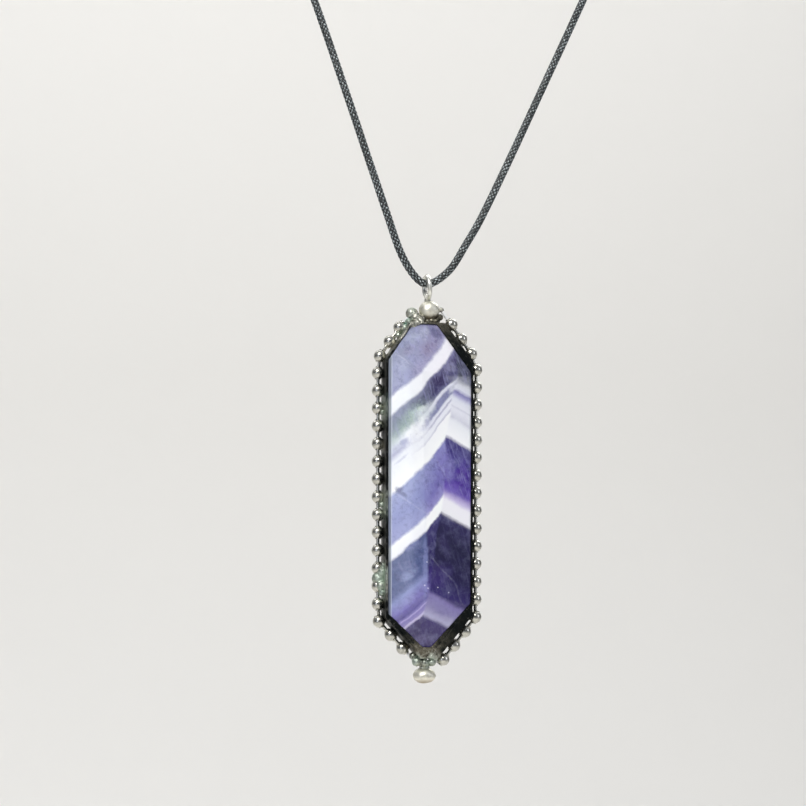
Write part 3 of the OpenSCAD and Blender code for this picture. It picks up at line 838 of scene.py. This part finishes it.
class PENDANT_OT_stage(Operator):
    """Make the camera, the pale floor with its sweep and the soft lights"""

    bl_idname = "pendant.make_stage"
    bl_label = "Stage"

    def execute(self, context):
        settings = context.scene.pendant_stage
        self.camera(context)
        self.floor(settings)
        self.lights(settings.key_power)
        self.world(context)
        context.scene.view_settings.view_transform = "Standard"
        return {"FINISHED"}

    def camera(self, context):
        # 450 mm from its target, 9 degrees to the pendant's left and 5 degrees below the target
        data = bpy.data.cameras.new("camera")
        data.lens, data.sensor_width = 105.8, 36.0
        data.clip_start, data.clip_end = 0.01, 20.0
        target = from_hang(-4.2, 2.7, -22.6)
        context.scene.camera = aimed("camera", data, from_hang(-74.4, -440.1, -61.8), target)

    def floor(self, settings):
        low = cad_box[0].z - settings.drop
        radius, back, height, half_w, steps = 0.8, 2.4, 6.0, 12.0, 16
        profile = [(-half_w, low)]
        for k in range(steps + 1):
            a = math.pi / 2 * k / steps
            profile.append((back - radius + radius * math.sin(a), low + radius * (1 - math.cos(a))))
        profile.append((back, low + height))
        sweep = bmesh.new()
        rows = [[sweep.verts.new((x, y, z)) for x in (-half_w, half_w)] for y, z in profile]
        for a, b in zip(rows, rows[1:]):
            sweep.faces.new((a[0], a[1], b[1], b[0]))
        floor = new_piece("floor", sweep, matt_paint(settings.floor))

    def lights(self, key_power):
        middle, wall = from_hang(0, 0, -38), Vector((0, 2.4, -0.2))
        # Target of each soft box, its place from there, its size, power and colour
        boxes = [
            ("key", middle, (-0.50, -0.95, 0.95), (0.7, 0.5), key_power, "#FFFDF8"),
            ("side", middle, (-0.62, -0.80, 0.07), (0.26, 0.5), 0.9, "#E4ECFF"),
            ("fill", middle, (1.1, -0.7, 0.35), (0.5, 0.7), 2.6, "#F4F7FF"),
            ("back", middle, (0.7, 1.0, 0.9), (0.6, 0.4), 6.0, "#FFFFFF"),
            ("under", middle, (0.1, -0.5, -0.48), (0.8, 0.3), 0.2, "#FFF8EE"),
            ("wall wash", wall, (0.0, -1.5, 1.8), (3.0, 0.6), 34.0, "#FFFFFF"),
        ]
        for name, target, offset, size, power, code in boxes:
            data = bpy.data.lights.new(name, "AREA")
            data.shape, data.size, data.size_y = "RECTANGLE", *size
            data.energy, data.color = power, linear(code)[:3]
            aimed(name, data, target + Vector(offset), target).visible_camera = False

    def world(self, context):
        world = bpy.data.worlds.new("studio")
        add = new_nodes(world)
        up = add("SeparateXYZ", [add("TexCoord").outputs["Generated"]]).outputs["Z"]
        height = add("MapRange", [up, -1, 1])
        stops = [(0, "#343536"), (0.45, "#3E4044"), (0.62, "#6E7278"), (1, "#B9BCC0")]
        room = add("ValToRGB", [height], stops=[(place, linear(code)) for place, code in stops])
        # The camera sees a pale wall, and the metal mirrors a room that is darker below
        seen = add("LightPath").outputs["Is Camera Ray"]
        shown = add("Mix", [seen, room, "#DAD8D4"], data_type="RGBA")
        add("OutputWorld", [add("Background", [shown])])
        context.scene.world = world


# Cord


def braid_height(turn, run, strands):
    """Height of the braid's surface, 0 to 1, where two sets of strands pass over and under."""
    u, v = strands * turn + run, strands * turn - run
    i, j = math.floor(u), math.floor(v)
    heights = []
    for mine, across, index, lift in ((u, v, i, 0.0), (v, u, j, 1.0)):
        part = mine - math.floor(mine)
        round_top = math.sqrt(max(0.0, 1 - (2 * part - 1) ** 2 * 0.96))
        over = 0.5 + 0.5 * math.cos(math.pi * (across - 0.5 + index + lift))
        heights.append(0.5 * over + 0.5 * round_top)
    return max(heights)


def braided_cord(name, first, last, settings, material):
    """
    A stretch of the loop between two of its route's points, as one closed braided tube.

    It comes with its middle line's points and its length.
    """
    points, slopes, legs = follow(cord_route()[0], 48)
    # Distances along the whole loop, so that the braid runs on from stretch to stretch
    spans = [0.0]
    for a, b in zip(points, points[1:]):
        spans.append(spans[-1] + (b - a).length)
    start, end = [next(s for s, leg in zip(spans, legs) if leg >= place) for place in (first, last)]
    ring_step = 0.2 * MM
    rings = max(2, round((end - start) / ring_step))
    sides = settings.strands * 6
    across = Vector((0, 0, 1))
    body = bmesh.new()
    rows, crowns, path = [], [], []
    k = 0
    for r in range(rings + 1):
        s = start + (end - start) * r / rings
        while k < len(spans) - 2 and spans[k + 1] < s:
            k += 1
        t = (s - spans[k]) / (spans[k + 1] - spans[k])
        centre = points[k].lerp(points[k + 1], t)
        slope = slopes[k].lerp(slopes[k + 1], t).normalized()
        across = (across - across.dot(slope) * slope).normalized()
        third = slope.cross(across)
        path.append(centre)
        row = []
        for q, a in enumerate(turns(sides)):
            height = braid_height(q / sides, s / settings.lay, settings.strands)
            away = settings.diameter / 2 - settings.relief * (1 - height)
            row.append(body.verts.new(centre + away * (math.cos(a) * across + math.sin(a) * third)))
            crowns.append(height)
        rows.append(row)
    skin(body, rows, closed=False)
    # Quarter turns round the cord and millimetres along it, for the fibres
    layer = body.loops.layers.uv.new("cord")
    body.verts.index_update()
    for face in body.faces:
        places = [(corner, *divmod(corner.vert.index, sides)) for corner in face.loops]
        wraps = {0, sides - 1} <= {q for _, _, q in places}
        for corner, r, q in places:
            turn = 1 if wraps and q == 0 else q / sides
            corner[layer].uv = (turn * 4, (start + (end - start) * r / rings) / MM)
    piece = new_piece(name, body, material)
    crown = piece.data.attributes.new("crown", "FLOAT", "POINT")
    crown.data.foreach_set("value", crowns)
    return piece, path, end - start


class PENDANT_OT_cord(Operator):
    """Make the front cord and the two stretches round the neck"""

    bl_idname = "pendant.make_cord"
    bl_label = "Braided cord"

    def execute(self, context):
        settings = context.scene.pendant_cord
        material = waxed_cotton(settings)
        route, left, right = cord_route()
        for name, node, first, last in (
            ("front_braid", "front_cord", left, right),
            ("neck_braid_left", "neck_cord_left", 0, left),
            ("neck_braid_right", "neck_cord_right", right, len(route) - 1),
        ):
            piece, path, length = braided_cord(name, first, last, settings, material)
            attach(piece, "necklace")
            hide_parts(node)
            if node == "front_cord":
                path = [tuple(p) for p in path[::4] + path[-1:]]
        return {"FINISHED"}


# Clasp


class PENDANT_OT_clasp(Operator):
    """Make the plain barrel clasp at the nape"""

    bl_idname = "pendant.make_clasp"
    bl_label = "Clasp"

    def execute(self, context):
        half, r, end_r = CLASP_L / 2, CLASP_D / 2, CLASP_END_D / 2
        shoulder = half - 2 * (r - end_r)
        fine, deep = 0.08, 0.18
        # Half of the turned profile, as distances from the middle and radii
        seam = [(0.0, r - deep), (0.12, r - deep), (0.22, r)]
        groove = [(1.2, r), (1.28, r - fine), (1.5, r - fine), (1.58, r)]
        neck = [(shoulder - 0.2, r), (shoulder + 0.05, r - 0.05)]
        side = seam + groove + neck + [(half - 0.12, end_r + 0.04), (half, end_r - fine)]
        body, rows = bmesh.new(), []
        for x, y in [(-x, y) for x, y in reversed(side)] + side[1:]:
            row = [(x, CLASP_Y + y * math.cos(a), CLASP_Z + y * math.sin(a)) for a in turns(48)]
            rows.append([body.verts.new(Vector(place) * MM) for place in row])
        skin(body, rows, closed=False)
        nickel = plated_metal("turned nickel-plated brass", "#B9B6AB", "#6A6861", 0.16, 0.3)
        piece = new_piece("barrel_clasp", body, nickel, 35)
        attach(piece, "necklace")
        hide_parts("clasp")
        return {"FINISHED"}


# Crystal


class PENDANT_OT_crystal(Operator):
    """Make the polished banded crystal with its worn edges"""

    bl_idname = "pendant.make_crystal"
    bl_label = "Crystal"

    def execute(self, context):
        settings = context.scene.pendant_crystal
        body = crystal_body(0.0)
        bmesh.ops.bevel(
            body, geom=body.edges[:], offset=settings.edge, segments=2, profile=0.6, affect="EDGES"
        )
        piece = new_piece("banded_crystal", body, chevron_amethyst(settings), 12)
        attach(piece, "pendant")
        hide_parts("crystal")
        return {"FINISHED"}


# Soldered setting


class PENDANT_OT_band(Operator):
    """Make the band of blackened solder wrapped round the crystal's edge"""

    bl_idname = "pendant.make_band"
    bl_label = "Soldered band"

    def execute(self, context):
        settings = context.scene.pendant_solder
        inner, outer = grown([CRYSTAL_GAP] * len(OUTLINE)), grown(WALLS)
        section_step = 0.34
        body, rows = bmesh.new(), []
        for i in range(len(OUTLINE)):
            j = (i + 1) % len(OUTLINE)
            steps = max(2, round((outer[j] - outer[i]).length / section_step))
            for k in range(steps):
                a, b = inner[i].lerp(inner[j], k / steps), outer[i].lerp(outer[j], k / steps)
                rows.append(self.section(body, a, b, settings.grain / MM))
        skin(body, rows, closed=True)
        piece = new_piece("soldered_band", body, patinated_solder(settings))
        mark_solder(piece.data)
        in_setting(piece)
        return {"FINISHED"}

    def section(self, body, a, b, grain):
        """One closed loop across the band, from its front rim over its face to the back rim."""
        face_rows, rim_rows, back_rows = 16, 3, 4
        face_swell, rim_swell, rim_wear = 0.07, 0.1, 0.12
        seam_w, seam_h, bare_h = 0.75, 0.16, 0.22
        out, wall = (b - a).normalized(), (b - a).length
        near, far = [min(BAND_W / 2, depth_at(p.x, p.y, POINT_FACETS, BAND_LIP)) for p in (a, b)]
        face, rim = [], []
        for q in range(face_rows + 1):
            t = 2 * q / face_rows - 1
            face.append((wall + face_swell * (1 - t * t), t * far, "face"))
        for q in range(1, rim_rows + 1):
            t = q / (rim_rows + 1)
            rim.append((wall * (1 - t), far + (near - far) * t + rim_swell * math.sin(math.pi * t), "rim"))
        back = [(0.0, near * (1 - 2 * q / back_rows), "back") for q in range(back_rows + 1)]
        row = []
        for height, y, where in face + rim + back + [(h, -y, where) for h, y, where in reversed(rim)]:
            flat = a + out * height
            place = Vector((flat.x, y, flat.y))
            ragged = uneven(place, (0.5, 0.9), (0.35, 2.3))
            push = 0.0
            if where == "face":
                # A seam of solder under the balls, and ripples over the rest
                seam = math.exp(-((y / seam_w) ** 2)) * (seam_h + 0.22 * max(-0.5, ragged))
                push = seam + grain * (1.6 * ragged + uneven(place, (0.5, 6.0)))
                push += bare_h * spot_mask(place, MARKS["bare"]) * max(0.0, 0.4 + uneven(place, (1, 1.3)))
            elif where == "rim":
                place.y += math.copysign(rim_wear, y) * ragged
            row.append(body.verts.new(from_hang(place.x + out.x * push, place.y, place.z + out.y * push)))
        return row


def chain_ways():
    """The two runs of the ball chain from first to last ball, as places in mm."""
    corners = grown([w + BALL_D / 2 - BALL_SINK for w in WALLS])
    ways = []
    for order, start in (((0, 7, 6, 5), LEFT_START), ((1, 2, 3, 4), RIGHT_START)):
        way = [corners[i] for i in order]
        length = sum((b - a).length for a, b in zip(way, way[1:]))
        # A little over the last ball's place, so that rounding doesn't lose it
        end = start + BALL_PITCH * math.floor((length - BALL_END - start) / BALL_PITCH) + 0.001
        run, so_far = [], 0.0
        for a, b in zip(way, way[1:]):
            leg = (b - a).length
            if so_far <= start < so_far + leg:
                run.append(a.lerp(b, (start - so_far) / leg))
            elif so_far > start:
                run.append(a.copy())
            if end < so_far + leg or b is way[-1]:
                run.append(a.lerp(b, (end - so_far) / leg))
                break
            so_far += leg
        ways.append(run)
    return ways


def ball_chain_tree(material, sizes):
    """Geometry Nodes that thread balls and link bars along the lines of a mesh, with their sockets."""
    tree = bpy.data.node_groups.new("ball chain", "GeometryNodeTree")
    add = partial(add_node, tree)
    face = tree.interface
    face.new_socket("Geometry", in_out="INPUT", socket_type="NodeSocketGeometry")
    sockets = {}
    for name, size in sizes.items():
        socket = face.new_socket(name, in_out="INPUT", socket_type="NodeSocketFloat")
        socket.default_value, socket.subtype = size, "DISTANCE"
        sockets[name] = socket.identifier
    face.new_socket("Geometry", in_out="OUTPUT", socket_type="NodeSocketGeometry")
    given = add("NodeGroupInput").outputs
    line = add("GeometryNodeMeshToCurve", {"Mesh": given["Geometry"]})
    threaded = add("GeometryNodeResampleCurve", {"Curve": line, "Length": given["Pitch"]}, mode="LENGTH")
    # A ball is rolled from tube, so a short neck is left round each of its two holes
    ball_r, neck_r, neck_l, bar_r = [
        add("Math", [given[name], share], operation="MULTIPLY")
        for name, share in (
            ("Ball diameter", 0.5), ("Neck diameter", 0.5), ("Ball diameter", 1.03), ("Bar diameter", 0.5),
        )
    ]
    ball = add("GeometryNodeMeshUVSphere", {"Segments": 20, "Rings": 12, "Radius": ball_r})
    neck = add("GeometryNodeMeshCylinder", {"Vertices": 12, "Radius": neck_r, "Depth": neck_l})
    bead = add("GeometryNodeJoinGeometry", [ball])
    tree.links.new(neck.outputs[0], bead.inputs[0])
    smooth = add("GeometryNodeSetShadeSmooth", {"Geometry": bead})
    tangent = add("GeometryNodeInputTangent")
    turned = add("FunctionNodeAlignRotationToVector", {"Vector": tangent}, axis="Z")
    beads = {"Points": threaded, "Instance": smooth, "Rotation": turned}
    profile = add("GeometryNodeCurvePrimitiveCircle", {"Resolution": 10, "Radius": bar_r})
    bars = {"Curve": threaded, "Profile Curve": profile, "Fill Caps": True}
    whole = add("GeometryNodeJoinGeometry", [add("GeometryNodeInstanceOnPoints", beads)])
    tree.links.new(add("GeometryNodeCurveToMesh", bars).outputs[0], whole.inputs[0])
    real = add("GeometryNodeRealizeInstances", {"Geometry": whole})
    add("NodeGroupOutput", [add("GeometryNodeSetMaterial", {"Geometry": real, "Material": material})])
    return tree, sockets


class PENDANT_OT_chain(Operator):
    """Make the ball chain that is soldered along the band"""

    bl_idname = "pendant.make_chain"
    bl_label = "Ball chain"

    def execute(self, context):
        settings = context.scene.pendant_chain
        lines, ends = bmesh.new(), []
        for way in chain_ways():
            dots = [lines.verts.new(from_hang(p.x, 0, p.y)) for p in way]
            for a, b in zip(dots, dots[1:]):
                lines.edges.new((a, b))
            ends.append((dots[0].co.copy(), dots[-1].co.copy()))
        piece = new_piece("ball_chain", lines)
        sizes = {
            "Ball diameter": settings.ball, "Pitch": settings.pitch,
            "Bar diameter": settings.bar, "Neck diameter": settings.bar * 1.75,
        }
        nickel = plated_metal("nickel-plated ball chain", settings.nickel, "#6A6861", 0.14, 0.3)
        threader = piece.modifiers.new("ball chain", "NODES")
        threader.node_group, sockets = ball_chain_tree(nickel, sizes)
        for name, size in sizes.items():
            threader[sockets[name]] = size
        bake(piece)
        # The last bars go into the solder above and below
        whole = bmesh.new()
        whole.from_mesh(piece.data)
        lumps = [
            (from_hang(-2.9, 0.1, -5.8), from_hang(-2.15, 0, -71.6)),
            (from_hang(2.7, 0, -5.0), from_hang(0.7, 0, -71.6)),
        ]
        for (first, last), (upper, lower) in zip(ends, lumps):
            for a, b in ((upper, first), (last, lower)):
                turn = (b - a).to_track_quat("Z", "Y").to_matrix().to_4x4()
                bmesh.ops.create_cone(
                    whole, cap_ends=True, segments=10, radius1=settings.bar / 2, radius2=settings.bar / 2,
                    depth=(b - a).length, matrix=Matrix.Translation((a + b) / 2) @ turn,
                )
        whole.to_mesh(piece.data)
        whole.free()
        soften(piece.data, 50)
        in_setting(piece)
        return {"FINISHED"}


# Lumps of solder round the two balls, in mm from the hanging point: x, y, z, radius
TOP_LUMPS = [
    (-2.9, 0.1, -5.8, 1.2), (-2.2, -0.7, -6.6, 1), (-1.5, -1.5, -7.3, 0.72), (-2.3, -1.5, -7.9, 0.6),
    (-2, 1.4, -7.1, 0.95), (-3.7, -0.9, -7.5, 0.7), (-3.2, -1.2, -8.5, 0.5), (-4.4, -0.6, -8.6, 0.75),
    (-5.6, -0.4, -10, 0.62), (2.75, 0, -5, 0.5), (0.1, 0, -3.3, 0.62), (2.4, -0.6, -6.5, 0.6),
    (1.6, -0.6, -7.3, 0.6), (1.9, 0.9, -6.9, 0.8), (-1.1, -0.4, -6.7, 0.8), (0.4, 0.2, -7.3, 1),
    (0.8, -0.5, -7.2, 0.7), (-2.9, -1.8, -8.2, 0.75), (-2.1, -2, -7.8, 0.6), (-3.5, -1.9, -9, 0.55),
    (-1.3, -1.9, -7.7, 0.5), (-4.3, -1.7, -9.9, 0.45),
]
BOTTOM_LUMPS = [
    (-2.15, -0.65, -71.4, 0.9), (-0.7, -1.1, -71.6, 0.75), (0.7, -0.75, -71.5, 0.8), (-0.6, 1, -71.7, 0.97),
    (-0.6, 0, -72.6, 1), (-2.9, -0.9, -70.3, 0.7), (1.4, -0.8, -70.6, 0.62), (2.2, 0, -70.9, 0.5),
    (-0.2, -1.7, -70.1, 0.62), (-1.6, -1.7, -69.6, 0.55), (1, -1.6, -69.4, 0.5),
]
# Lumps along the left side, where the chain was tacked down with extra solder
SIDE_LUMPS = [
    (-9.2, 0, -55.9, 1.35), (-8.7, -0.9, -54.7, 0.95), (-8.9, -0.8, -57.2, 1), (-8.6, -0.6, -58.5, 0.75),
    (-8.5, -1, -53.4, 0.55), (-8.7, 0, -42, 0.62), (-8.6, -0.3, -24.6, 0.6), (-8.55, 0.2, -31.2, 0.5),
]
# The solder runs up the lower edges of the stone to these lines: where each starts and ends
LOWER_LEFT, LOWER_RIGHT = ((-6.5, -63.8), (-1.6, -68.4)), ((0.3, -68.65), (3.6, -64.9))


def lower_cap():
    """The solder's skin over the stone's lower end: a low cap and a strip along each edge."""
    cap_h, cap_skin, edge_skin = 1.7, 0.3, 0.2
    outside = side_planes(WALLS[:4] + [BAND_WALL] * 4)
    cap = outside + both_sides(POINT_FACETS, cap_skin)
    cap.append((Vector((0, 0, 1)), from_hang(0, 0, CRYSTAL_BOTTOM + cap_h)))
    bodies = [convex_body(cap, from_hang(0, 0, CRYSTAL_BOTTOM), 0.006)]
    strip = outside + both_sides(PRISM_FACETS + POINT_FACETS, edge_skin)
    for (ax, az), (bx, bz) in (LOWER_LEFT, LOWER_RIGHT):
        edge = (Vector((az - bz, 0, bx - ax)).normalized(), from_hang(ax, 0, az))
        bodies.append(convex_body(strip + [edge], from_hang(0, 0, CRYSTAL_BOTTOM + 6), 0.0095))
    return bodies


def flat_ball(name, size, material):
    """A flattened ball of solder, a little uneven where it set."""
    body = bmesh.new()
    squash = Matrix.Diagonal((1, 1, size["h"] / size["w"], 1))
    bmesh.ops.create_uvsphere(body, u_segments=64, v_segments=40, radius=size["w"] / 2, matrix=squash)
    # Moves the long waves, so that they don't rise and fall with the fine ones
    aside = Vector((3, 1, 7))
    for v in body.verts:
        swell = 0.09 * noise.noise(v.co * 0.55 + aside) + 0.03 * noise.noise(v.co * 1.6)
        v.co += v.co.normalized() * swell
        v.co = from_hang(v.co.x + size["x"], v.co.y, v.co.z + size["z"])
    return new_piece(name, body, material)


def solder_shape(name, lumps, extra, settings, material):
    """Lumps and other bodies, flowed into one skin of solder round the stone."""
    body = bmesh.new()
    for x, y, z, radius in lumps:
        middle = Matrix.Translation(from_hang(x, y, z))
        bmesh.ops.create_icosphere(body, subdivisions=3, radius=radius * MM, matrix=middle)
    for other in extra:
        mesh = bpy.data.meshes.new(name)
        other.to_mesh(mesh)
        other.free()
        body.from_mesh(mesh)
        bpy.data.meshes.remove(mesh)
    piece = new_piece(name, body)
    flow = piece.modifiers.new("flow", "REMESH")
    flow.mode, flow.voxel_size = "VOXEL", 0.1 * MM
    relax = piece.modifiers.new("relax", "SMOOTH")
    relax.factor, relax.iterations = 0.5, 5
    bake(piece)
    vertices = piece.data.vertices
    normals = [v.normal.copy() for v in vertices]
    for v, n in zip(vertices, normals):
        v.co += n * settings.grain * uneven((v.co - HANG) / MM, (1, 1.9), (0.6, 4.7))
    cut_away(piece, crystal_body(CRYSTAL_GAP))
    mark_solder(piece.data)
    piece.data.materials.clear()
    piece.data.materials.append(material)
    soften(piece.data, 50)
    return piece


class PENDANT_OT_solder(Operator):
    """Make the balls and lumps of solder above, below and beside the crystal"""

    bl_idname = "pendant.make_solder"
    bl_label = "Solder balls"

    def execute(self, context):
        settings = context.scene.pendant_solder
        bright, dark = bright_solder(), bpy.data.materials["blackened solder on copper foil"]
        for name, size in (("top_ball", TOP_BALL), ("bottom_ball", BOTTOM_BALL)):
            in_setting(flat_ball(name, size, bright))
        for name, lumps, extra in (
            ("top_solder", TOP_LUMPS, []),
            ("bottom_solder", BOTTOM_LUMPS, lower_cap()),
            ("side_solder", SIDE_LUMPS, []),
        ):
            in_setting(solder_shape(name, lumps, extra, settings, dark))
        return {"FINISHED"}


class PENDANT_OT_ring(Operator):
    """Make the wire ring that the cord runs through"""

    bl_idname = "pendant.make_ring"
    bl_label = "Hanging ring"

    def execute(self, context):
        radius, wire = (RING_D - RING_WIRE) / 2, RING_WIRE / 2
        lean = Euler((0, math.radians(-4), math.radians(5))).to_matrix()
        # The wire's cut ends meet in a fine groove near the top of the back
        groove_at, groove_w, groove_depth = 1.1, 0.035, 0.06
        body, rows = bmesh.new(), []
        for a in turns(72):
            r = wire - groove_depth * math.exp(-(((a - groove_at) / groove_w) ** 2))
            row = []
            for b in turns(20):
                away = radius + r * math.cos(b)
                place = lean @ Vector((r * math.sin(b), away * math.cos(a), away * math.sin(a)))
                row.append(body.verts.new(from_hang(place.x, place.y, place.z + RING_Z)))
            rows.append(row)
        skin(body, rows, closed=True)
        silver = plated_metal("silver-plated wire", "#F2F1E8", "#B4B2A6", 0.26, 0.42)
        in_setting(new_piece("hanging_ring", body, silver))
        return {"FINISHED"}


# Panel and registration


STEPS = [
    PENDANT_OT_stage, PENDANT_OT_cord, PENDANT_OT_clasp, PENDANT_OT_crystal,
    PENDANT_OT_band, PENDANT_OT_chain, PENDANT_OT_solder, PENDANT_OT_ring,
]
GROUPS = {
    "pendant_stage": PENDANT_PG_stage,
    "pendant_cord": PENDANT_PG_cord,
    "pendant_crystal": PENDANT_PG_crystal,
    "pendant_chain": PENDANT_PG_chain,
    "pendant_solder": PENDANT_PG_solder,
}


class PENDANT_PT_pieces(Panel):
    """Lists the pieces and their sizes"""

    bl_idname = "PENDANT_PT_pieces"
    bl_label = "Crystal pendant"
    bl_space_type = "VIEW_3D"
    bl_region_type = "UI"
    bl_category = "Pendant"

    def draw(self, context):
        for step in STEPS:
            self.layout.operator(step.bl_idname)
        for name in GROUPS:
            group = getattr(context.scene, name)
            box = self.layout.box()
            for key in group.bl_rna.properties.keys():
                if key not in ("rna_type", "name"):
                    box.prop(group, key)


def register():
    for group in GROUPS.values():
        bpy.utils.register_class(group)
    for name, group in GROUPS.items():
        setattr(bpy.types.Scene, name, PointerProperty(type=group))
    for step in STEPS:
        bpy.utils.register_class(step)
    bpy.utils.register_class(PENDANT_PT_pieces)


def unregister():
    bpy.utils.unregister_class(PENDANT_PT_pieces)
    for step in reversed(STEPS):
        bpy.utils.unregister_class(step)
    for name in GROUPS:
        delattr(bpy.types.Scene, name)
    for group in GROUPS.values():
        bpy.utils.unregister_class(group)


def main():
    register()
    bpy.ops.pendant.make_stage()
    bpy.ops.pendant.make_cord()
    bpy.ops.pendant.make_clasp()
    bpy.ops.pendant.make_crystal()
    bpy.ops.pendant.make_band()
    bpy.ops.pendant.make_chain()
    bpy.ops.pendant.make_solder()
    bpy.ops.pendant.make_ring()


if __name__ == "__main__":
    main()
